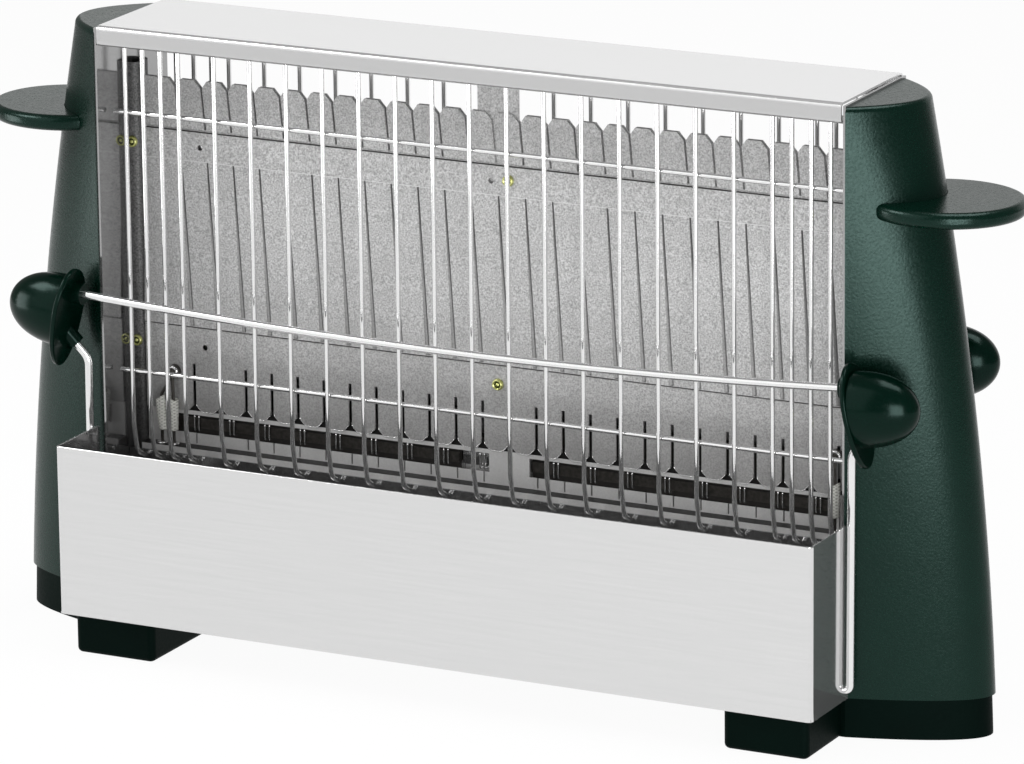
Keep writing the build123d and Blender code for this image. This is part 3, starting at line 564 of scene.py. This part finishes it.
def wire_spline(curve, points, radii):
    """One wire: straight between its points, each inner corner rounded to its radius in mm."""
    corners = [Vector(p) * MM for p in points]
    stops = [(corners[0], (corners[1] - corners[0]).normalized(), 0.0)]
    for before, here, after, radius in zip(corners, corners[1:], corners[2:], radii):
        arriving, leaving = (here - before).normalized(), (after - here).normalized()
        angle = arriving.angle(leaving)
        cut = radius * MM * math.tan(angle / 2)
        handle = 4 / 3 * math.tan(angle / 4) * radius * MM
        stops.append((here - arriving * cut, arriving, handle))
        stops.append((here + leaving * cut, leaving, -handle))
    stops.append((corners[-1], (corners[-1] - corners[-2]).normalized(), 0.0))
    spline = curve.splines.new("BEZIER")
    spline.bezier_points.add(len(stops) - 1)
    for point, (place, way, handle) in zip(spline.bezier_points, stops):
        short = way * END_HANDLE * MM
        point.handle_left_type = point.handle_right_type = "FREE"
        point.co = place
        point.handle_left = place + way * handle if handle < 0 else place - short
        point.handle_right = place + way * handle if handle > 0 else place + short


def wirework(name, wires, thickness, material, body, slot, *replaced):
    """A curve object of round wires that rides on a body and may stand for CAD nodes."""
    curve = bpy.data.curves.new(name, "CURVE")
    curve.dimensions = "3D"
    curve.bevel_depth = thickness / 2 * MM
    curve.bevel_resolution = 3
    curve.resolution_u = 6
    curve.use_fill_caps = True
    for points, radii in wires:
        wire_spline(curve, points, radii)
    curve.materials.append(material)
    piece = bpy.data.objects.new(name, curve)
    bpy.context.collection.objects.link(piece)
    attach(piece, body)
    if replaced:
        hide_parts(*replaced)
    print(name, "has", len(curve.splines), "wires")


# %% [markdown]
# The bread leans on two grids of drawn steel wire, spot-welded to a pair of level rails and plated.
# Each grid has seventeen wires at full pitch, and three more at half pitch towards either end,
# where small slices would otherwise slip through. The foot of each wire turns in under the plates.

# %% Bread grids
PITCH = 14.97
FULL_PITCHES = 8
WIRE, RAIL = 1.8, 1.9
GRID_PLANE = 19.0
WIRE_TOP, KINK, FOOT, TOE = 225.4, 80.3, (16.9, 69.0), (10.4, 65.6)
KINK_RADIUS, FOOT_RADIUS = 12.0, 4.5
RAIL_HEIGHTS = (198.9, 100.3)
RAIL_HALF_LENGTH = 148.0
WELD_SINK = 0.15

places = [PITCH * step for step in range(-FULL_PITCHES, FULL_PITCHES + 1)]
for step in (0.5, 1.0, 1.5):
    places += [PITCH * (FULL_PITCHES + step), -PITCH * (FULL_PITCHES + step)]
for side, sign in (("front", -1), ("rear", 1)):
    profile = ((GRID_PLANE, WIRE_TOP), (GRID_PLANE, KINK), FOOT, TOE)
    uprights = [([(x, sign * y, z) for y, z in profile], (KINK_RADIUS, FOOT_RADIUS)) for x in places]
    wirework(
        f"{side}_grid_uprights", uprights, WIRE, chrome, "toaster_body", "chrome_wire", f"{side}_grid"
    )
    rail_plane = sign * (GRID_PLANE - (WIRE + RAIL) / 2 + WELD_SINK)
    rails = [
        ([(-RAIL_HALF_LENGTH, rail_plane, z), (RAIL_HALF_LENGTH, rail_plane, z)], ())
        for z in RAIL_HEIGHTS
    ]
    wirework(f"{side}_grid_rails", rails, RAIL, chrome, "toaster_body", "chrome_wire")

# %% [markdown]
# Everything else that is new is a mesh, drawn with bmesh operators and then made an object.
# Points that lie on one another are merged first, so that the surfaces close and shade smoothly.


# %% Helper for new meshes
def new_piece(name, mesh, material, body, slot, *replaced):
    """Turns a bmesh into a shaded object that rides on a body and may stand for CAD nodes."""
    bmesh.ops.remove_doubles(mesh, verts=mesh.verts, dist=1e-7)
    bmesh.ops.recalc_face_normals(mesh, faces=mesh.faces)
    data = bpy.data.meshes.new(name)
    mesh.to_mesh(data)
    mesh.free()
    data.materials.append(material)
    data.shade_smooth()
    piece = bpy.data.objects.new(name, data)
    bpy.context.collection.objects.link(piece)
    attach(piece, body)
    if replaced:
        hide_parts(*replaced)
    print(name, "has", len(data.polygons), "faces")


# %% [markdown]
# The long slots of the heat plates are cut, and the metal on the left of each slot is pressed in.
# That sloping lip looks middling grey, from its slope and from painted shade in its sheet, a darker copy
# of the plate's, and only a thin line at its right stays dark.
# A grid of faces per slot is enough: its rows follow the slot, its columns go from edge to lip.

# %% Lips of the long slots
SLOT_PITCH = 10.97
SLOTS_EACH_SIDE = 12
SLOT_OFFSET = 1.6
LONG_LEAN = 0.075
FACE_HIGH, FACE_LOW = 1.5, 4.5
SLOT_TOP, SLOT_BOTTOM = 0.7, 1.8
DARK_LINE = 0.5
LIP_ROWS = 12
LIP_INSET, LIP_TUCK, LEAST_LIP = 0.6, 0.03, 0.15
LIP_SINK, LIP_DROP = 0.2, 0.9


def slot_middle(number, z):
    """X of a long slot's middle line at height z, in mm: the slots lean down to the right."""
    comb_base = SLOT_OFFSET + number * SLOT_PITCH
    return comb_base + (COMB_BASE - min(max(z, STEP_HEIGHT), COMB_BASE)) * LONG_LEAN


lip_top, lip_bottom = STRIP_BASE - LIP_INSET, STEP_HEIGHT + LIP_INSET
for side, sign in (("front", -1), ("rear", 1)):
    mesh = bmesh.new()
    for number in range(-SLOTS_EACH_SIDE, SLOTS_EACH_SIDE + 1):
        made = bmesh.ops.create_grid(mesh, x_segments=LIP_ROWS, y_segments=2, size=1.0)
        for vertex in made["verts"]:
            down = (1 - vertex.co.x) / 2
            across = (vertex.co.y + 1) / 2
            z = lip_top + (lip_bottom - lip_top) * down
            face = FACE_HIGH + (FACE_LOW - FACE_HIGH) * down
            width = SLOT_TOP + (SLOT_BOTTOM - SLOT_TOP) * down
            reach = max(width - DARK_LINE, LEAST_LIP)
            x = slot_middle(number, z) - width / 2 - LIP_TUCK + reach * across
            y = face - LIP_SINK - LIP_DROP * across * across
            vertex.co = Vector((x, sign * y, z)) * MM
    new_piece(f"{side}_slot_lips", mesh, slot_lip_painted_shade, "toaster_body", "heat_sheet")

# %% [markdown]
# Below the step, short slots part the plate into tabs with clipped corners. Where the shears went
# through, the aluminium skin is gone and the bare steel edge shines, so each tab has a bright hairline
# under it. A thin bevelled curve draws that line with real roundness at its corners.

# %% Bright cut edges of the tabs
SHORT_SLOT, TAB_BOTTOM, TAB_CHAMFER, TAB_FACE = 1.3, 83.0, 2.4, 4.0
RIM, RIM_ROUND, RIM_RISE = 0.3, 1.6, 1.5
for side, sign in (("front", -1), ("rear", 1)):
    edges = []
    for number in range(-SLOTS_EACH_SIDE, SLOTS_EACH_SIDE):
        left = slot_middle(number, TAB_BOTTOM) + SHORT_SLOT / 2
        right_edge = left + SLOT_PITCH - SHORT_SLOT
        outline = (
            (left, TAB_BOTTOM + TAB_CHAMFER + RIM_RISE),
            (left, TAB_BOTTOM + TAB_CHAMFER),
            (left + TAB_CHAMFER, TAB_BOTTOM),
            (right_edge - TAB_CHAMFER, TAB_BOTTOM),
            (right_edge, TAB_BOTTOM + TAB_CHAMFER),
            (right_edge, TAB_BOTTOM + TAB_CHAMFER + RIM_RISE),
        )
        edges.append(([(x, sign * TAB_FACE, z) for x, z in outline], (RIM_ROUND,) * 4))
    wirework(f"{side}_tab_edges", edges, RIM, chrome, "toaster_body", "heat_sheet")

# %% [markdown]
# The plates hang on small pan-head screws. From the front such a head is a bright ring,
# a darker ring where the recess is, and a bright centre, so the head is a turned profile:
# half of its outline is drawn once, as radii and heights, and spun round the screw's axis.

# %% Plate screws
HEAD = (
    (0.0, 1.1),
    (0.5, 1.1),
    (0.75, 0.4),
    (1.4, 0.4),
    (1.5, 1.35),
    (1.8, 1.35),
    (2.1, 0.9),
    (2.2, 0.3),
)
RECESS = ((0.66, 0.7), (1.44, 0.7))
HEAD_RADIUS, SHANK_RADIUS = 2.2, 1.2
POST_SCREW_X, POST_SKIN = 147.74, 5.2
POST_SCREW_HEIGHTS = (184.7, 108.5)
CENTRE_SCREWS = ((6.6, 184.6, 1.5, 5.4), (2.8, 108.4, 4.0, 10.4))
TURNS = 20


def spin(mesh, chain, centre, axis, steps=TURNS):
    """Draws a chain of points and spins it once round an axis through the centre."""
    points = [mesh.verts.new(point) for point in chain]
    edges = [mesh.edges.new(pair) for pair in zip(points, points[1:])]
    bmesh.ops.spin(
        mesh,
        geom=points + edges,
        cent=centre,
        axis=axis,
        angle=2 * math.pi,
        steps=steps,
        use_merge=True,
    )


def turn_profile(mesh, outline, x, z, seat, sign):
    """Turns an outline of (radius, height) points round a level axis that points out of the bay."""
    chain = [Vector((x + radius, sign * (seat + out), z)) * MM for radius, out in outline]
    spin(mesh, chain, Vector((x, 0.0, z)) * MM, (0.0, 1.0, 0.0))


screws = [
    (x, z, POST_SKIN, sign, POST_SKIN / 2)
    for x in (-POST_SCREW_X, POST_SCREW_X)
    for z in POST_SCREW_HEIGHTS
    for sign in (-1, 1)
]
screws += [(x, z, seat, -1, shank) for x, z, seat, shank in CENTRE_SCREWS]
mesh, recesses = bmesh.new(), bmesh.new()
for x, z, seat, sign, shank in screws:
    foot = ((HEAD_RADIUS, 0.0), (SHANK_RADIUS, 0.0), (SHANK_RADIUS, -shank), (0.0, -shank))
    turn_profile(mesh, HEAD + foot, x, z, seat, sign)
    turn_profile(recesses, RECESS, x, z, seat, sign)
new_piece("plate_screws_turned", mesh, yellow_zinc, "toaster_body", "yellow_zinc", "plate_screws")
new_piece("screw_recesses", recesses, recess_shade_zinc, "toaster_body", "yellow_zinc")

# %% [markdown]
# Each element lead ends in a ring terminal: a bright crimped ring with the dark screw hole in it.
# The ring is again a turned profile, and it sits on the front of the lead's own eyelet disc.
# The two leads at the left share one terminal.

# %% Ring terminals
LEAD_PLACES, LEAD_PLANE = (-137.6, -132.6, 138.2), 6.0
TERMINAL_HEIGHT = 98.0
RING = ((1.15, 0.0), (1.25, 0.45), (1.6, 0.75), (2.1, 0.75), (2.45, 0.45), (2.5, 0.0))
mesh = bmesh.new()
for x in LEAD_PLACES[1:]:
    turn_profile(mesh, RING + RING[:1], x, TERMINAL_HEIGHT, LEAD_PLANE, -1)
new_piece("ring_terminals", mesh, chrome, "toaster_body", "chrome_wire")

# %% [markdown]
# The trays' upper edges are hemmed: the sheet is folded over on itself, so its edge is a small roll.
# A wire of the sheet's own thickness, let into the edge, gives that roll and catches a line of light.

# %% Hemmed tray edges
TRAY_HALF_LENGTH, TRAY_REAR, TRAY_FRONT, TRAY_TOP = 153.0, 27.6, 58.7, 80.2
HEM, HEM_SINK, HEM_ROUND = 0.8, 0.1, 1.4
for side, sign in (("front", -1), ("rear", 1)):
    far, near = sign * (TRAY_REAR + HEM), sign * (TRAY_FRONT - HEM / 2)
    half = TRAY_HALF_LENGTH - HEM / 2
    route = ((-half, far), (-half, near), (half, near), (half, far))
    hem = [([(x, y, TRAY_TOP - HEM_SINK) for x, y in route], (HEM_ROUND, HEM_ROUND))]
    wirework(f"{side}_tray_hem", hem, HEM, tray_steel, "toaster_body", "stainless")

# %% [markdown]
# In the channel's windows small wire staples hold the ribbons to their cards, one every fifteen
# millimetres. They are what glints there between the dark ribbons. Each is a pair of bent wires
# on either face, with its ends in the card.

# %% Element staples
STAPLE_WIRE, STAPLE_GAP, STAPLE_ROUND = 0.6, 1.8, 0.7
STAPLE_LOW, STAPLE_HIGH, STAPLE_FACE, CARD_FACE = 75.0, 81.1, 2.3, 0.4
STAPLE_RUNS = ((-5.0, -PITCH, 9), (25.2, PITCH, 8))
staples = []
for first, step, count in STAPLE_RUNS:
    for number in range(count):
        x = first + step * number
        for stroke in (x - STAPLE_GAP / 2, x + STAPLE_GAP / 2):
            for sign in (-1, 1):
                face, card = sign * STAPLE_FACE, sign * CARD_FACE
                route = (
                    (stroke, card, STAPLE_HIGH),
                    (stroke, face, STAPLE_HIGH),
                    (stroke, face, STAPLE_LOW),
                    (stroke, card, STAPLE_LOW),
                )
                staples.append((route, (STAPLE_ROUND, STAPLE_ROUND)))
wirework("element_staples", staples, STAPLE_WIRE, chrome, "toaster_body", "chrome_wire")

# %% [markdown]
# Where a lead goes down through the channel's ledge it passes a rolled steel eyelet,
# which is a turned ring again, only this time its axis stands upright.

# %% Eyelets in the channel's ledge
LEDGE = 70.0
ROLLED = ((0.9, 0.0), (1.0, 0.55), (1.5, 0.8), (2.0, 0.5), (2.15, 0.0))
mesh = bmesh.new()
for x in LEAD_PLACES:
    outline = ROLLED + ROLLED[:1]
    chain = [Vector((x + radius, -LEAD_PLANE, LEDGE + out)) * MM for radius, out in outline]
    spin(mesh, chain, Vector((x, -LEAD_PLANE, 0.0)) * MM, (0.0, 0.0, 1.0))
new_piece("ledge_eyelets", mesh, chrome, "toaster_body", "chrome_wire")

# %% [markdown]
# The knobs' bulbs end in a small flat in the frame, because a loft needs a last section of some size.
# A real moulding runs on into a smooth dome, so each bulb gets its tip: the last of the same profile,
# spun round the bulb's axis, squeezed to its oval and turned to where the bulb points.
# Each tip is drawn in a mesh of its own, and the two on one clamp are joined into one piece.

# %% Tips of the bulbs
BULB_LENGTH, BULB_HALF_WIDTH, BULB_HALF_HEIGHT = 23.5, 10.2, 13.8
BULB_BASE = Vector((160.2, -35.5, 125.6))
BULB_TURN = math.radians(5.8)
BULB_POWER, BULB_SIDES = 2.4, 24
TIP_SHARES = (0.96, 0.97, 0.98, 0.988, 0.994, 0.998, 1.0)


def join(mesh, part):
    """Adds a part that was drawn in a mesh of its own."""
    finished = bpy.data.meshes.new("part")
    part.to_mesh(finished)
    part.free()
    mesh.from_mesh(finished)
    bpy.data.meshes.remove(finished)


dome = [(math.sqrt(1 - share**BULB_POWER), 0.0, share * BULB_LENGTH) for share in TIP_SHARES]
cosine, sine = math.cos(BULB_TURN), math.sin(BULB_TURN)
for side, sign in (("front", 1), ("rear", -1)):
    mesh = bmesh.new()
    for end in (1, -1):
        tip = bmesh.new()
        spin(tip, dome, (0.0, 0.0, 0.0), (0.0, 0.0, 1.0), BULB_SIDES)
        for vertex in tip.verts:
            across, rise, out = vertex.co
            across, rise = across * BULB_HALF_WIDTH, rise * BULB_HALF_HEIGHT
            vertex.co = Vector((out * cosine - rise * sine, across, out * sine + rise * cosine))
            vertex.co = (vertex.co + BULB_BASE) * MM
            vertex.co.x *= end
            vertex.co.y *= sign
        join(mesh, tip)
    new_piece(f"{side}_bulb_tips", mesh, grip_plastic, f"{side}_clamp", "green_plastic")

# %% [markdown]
# Sleeves of plaited glass fibre keep the leads off the hot plates. They were snipped by hand,
# so their ends are oblique, and the plait makes a fine basket relief all over.
# A tube is cut into rings first, and then a product of two spirals moves its points in and out.

# %% Plaited sleeves
SLEEVE_LOW, SLEEVE_HIGH, SLEEVE_RADIUS, SLEEVE_WALL = 75.5, 87.6, 1.8, 0.5
SLEEVE_SIDES, SLEEVE_RINGS = 36, 24
SLEEVE_LEANS, SLEEVE_SNIPS = (-1.2, 0.3, 0.5), (1.0, -0.6, 0.8)
PLAIT_YARNS, PLAIT_PITCH, PLAIT_RELIEF = 4, 6.5, 0.05
sleeve_length = SLEEVE_HIGH - SLEEVE_LOW
sleeve_middle = (SLEEVE_HIGH + SLEEVE_LOW) / 2
mesh = bmesh.new()
for lead, lean, snip in zip(LEAD_PLACES, SLEEVE_LEANS, SLEEVE_SNIPS):
    tube = bmesh.new()
    bmesh.ops.create_cone(
        tube,
        cap_ends=False,
        segments=SLEEVE_SIDES,
        radius1=SLEEVE_RADIUS,
        radius2=SLEEVE_RADIUS,
        depth=sleeve_length,
    )
    upright = [edge for edge in tube.edges if len(edge.link_faces) == 2]
    bmesh.ops.subdivide_edges(tube, edges=upright, cuts=SLEEVE_RINGS - 1)
    for vertex in tube.verts:
        x, y, z = vertex.co
        angle = math.atan2(y, x)
        spiral = 2 * math.pi * z / PLAIT_PITCH
        basket = math.sin(PLAIT_YARNS * angle + spiral) * math.sin(PLAIT_YARNS * angle - spiral)
        swell = 1.0 + PLAIT_RELIEF * basket
        height_share = z / sleeve_length + 0.5
        oblique = snip * x / SLEEVE_RADIUS * height_share
        vertex.co = Vector(
            (
                lead + x * swell + lean * (height_share - 0.5),
                y * swell - LEAD_PLANE,
                sleeve_middle + z + oblique,
            )
        )
    bmesh.ops.recalc_face_normals(tube, faces=tube.faces)
    bmesh.ops.solidify(tube, geom=tube.faces[:], thickness=SLEEVE_WALL)
    bmesh.ops.scale(tube, vec=(MM, MM, MM), verts=tube.verts)
    join(mesh, tube)
new_piece("plaited_sleeves", mesh, sleeve_fibre, "toaster_body", "fibre_sleeve", "lead_sleeves")

# %% [markdown]
# A product picture of steel and dark plastic needs large soft lamps, because what both of them show
# is their surroundings. A tall panel at the left front fills the level wires with light from edge
# to edge. Two low panels stand near the toaster, one for the lit side of each housing. Past their
# far edges the housings mirror the dim room, which draws the leaning edge between light and shade.
# A box high at the left and one overhead draw the highlights on the knobs and the handles' rims.


# %% Lamps
def soft_box(name, place, aim, width, tall, brightness):
    """An area lamp that the camera doesn't see. Brightness 1 looks like white paper."""
    data = bpy.data.lights.new(name, "AREA")
    data.shape = "RECTANGLE"
    data.size = width
    data.size_y = tall
    data.energy = brightness * math.pi * width * tall
    lamp = bpy.data.objects.new(name, data)
    lamp.location = place
    lamp.rotation_mode = "QUATERNION"
    lamp.rotation_quaternion = (Vector(aim) - Vector(place)).to_track_quat("-Z", "Y")
    lamp.visible_camera = False
    bpy.context.collection.objects.link(lamp)
    print(name, round(data.energy, 1), "W")


soft_box(
    "tall_panel", (-0.75, -1.4, 1.0), aim=(0.0, 0.0, 0.6), width=1.3, tall=1.9, brightness=0.95
)
soft_box(
    "right_low_panel", (0.5, -0.54, 0.16), aim=(0.19, -0.02, 0.12), width=0.32, tall=0.3, brightness=9.6
)
soft_box(
    "left_low_panel", (-0.64, -0.25, 0.15), aim=(-0.19, -0.02, 0.13), width=0.22, tall=0.26, brightness=6.0
)
soft_box(
    "high_left_box", (-0.95, -0.55, 1.1), aim=(-0.05, 0.0, 0.12), width=0.5, tall=0.5, brightness=11.0
)
soft_box(
    "overhead_box", (0.36, 0.1, 1.5), aim=(0.1, 0.0, 0.1), width=0.8, tall=0.8, brightness=6.2
)

# %% [markdown]
# The room itself is dim, even and without colour. It fills the shadows a little, and the dark
# sides of the housings are what they mirror of it.

# %% Room
ROOM = 0.35

world = bpy.data.worlds.new("studio")
bpy.context.scene.world = world
world.use_nodes = True
tree = world.node_tree
tree.nodes.clear()
room = add_node(tree, "ShaderNodeBackground", {"Color": linear("#e6e6e6"), "Strength": ROOM})
add_node(tree, "ShaderNodeOutputWorld", links={"Surface": room.outputs[0]})
print("room brightness", ROOM)

# %% [markdown]
# The floor and the backdrop are white card. To rays from the camera, and to those that a mirror or
# glass sends on, they are nearly white by themselves, so the picture's ground is clean and the metal
# shows it too. A twentieth of the card stays matt paint, which keeps the toaster's soft shadow.

# %% White card
CARD_GLOW = 0.95

card = bpy.data.materials.new("white_card")
card.use_nodes = True
tree = card.node_tree
tree.nodes.clear()
path = add_node(tree, "ShaderNodeLightPath")
seen = path.outputs["Is Camera Ray"]
for ray in ("Is Transmission Ray", "Is Glossy Ray"):
    either = add_node(
        tree, "ShaderNodeMath", {".operation": "MAXIMUM"}, {0: seen, 1: path.outputs[ray]}
    )
    seen = either.outputs[0]
share = add_node(tree, "ShaderNodeMath", {".operation": "MULTIPLY", 1: CARD_GLOW}, {0: seen})
matt = add_node(tree, "ShaderNodeBsdfDiffuse", {"Color": linear("#e8e8e8")})
glow = add_node(tree, "ShaderNodeEmission", {"Color": (1.0, 1.0, 1.0, 1.0), "Strength": 1.0})
mix = add_node(
    tree,
    "ShaderNodeMixShader",
    links={0: share.outputs[0], 1: matt.outputs[0], 2: glow.outputs[0]},
)
add_node(tree, "ShaderNodeOutputMaterial", links={"Surface": mix.outputs[0]})
print("card glow", CARD_GLOW)

# %% [markdown]
# The floor is a table top. It ends about a metre to the left and right, so that the housings,
# which are as dark as they are smooth, have something dark to mirror too.
# The backdrop stands at its far end, well behind every camera that looks from the back.

# %% Floor and backdrop
TABLE_LEFT, TABLE_RIGHT, TABLE_FRONT, TABLE_BACK = -1.0, 1.2, -1.6, 9.0
BACKDROP_HALF_WIDTH, BACKDROP_HEIGHT = 6.5, 5.0


def stand_card(name, half_width, half_depth, centre, tilt):
    """A sheet of white card about its centre, tilted up from level by an angle."""
    mesh = bmesh.new()
    bmesh.ops.create_grid(mesh, x_segments=1, y_segments=1, size=1.0)
    bmesh.ops.scale(mesh, vec=(half_width, half_depth, 1.0), verts=mesh.verts)
    bmesh.ops.rotate(mesh, matrix=Matrix.Rotation(tilt, 3, "X"), verts=mesh.verts)
    bmesh.ops.translate(mesh, vec=centre, verts=mesh.verts)
    data = bpy.data.meshes.new(name)
    mesh.to_mesh(data)
    mesh.free()
    data.materials.append(card)
    sheet = bpy.data.objects.new(name, data)
    bpy.context.collection.objects.link(sheet)
    print(name, 2 * half_width, "by", 2 * half_depth, "m")


stand_card(
    "floor",
    (TABLE_RIGHT - TABLE_LEFT) / 2,
    (TABLE_BACK - TABLE_FRONT) / 2,
    ((TABLE_RIGHT + TABLE_LEFT) / 2, (TABLE_BACK + TABLE_FRONT) / 2, 0.0),
    tilt=0.0,
)
stand_card(
    "backdrop",
    BACKDROP_HALF_WIDTH,
    BACKDROP_HEIGHT / 2,
    (0.0, TABLE_BACK, BACKDROP_HEIGHT / 2),
    tilt=math.pi / 2,
)
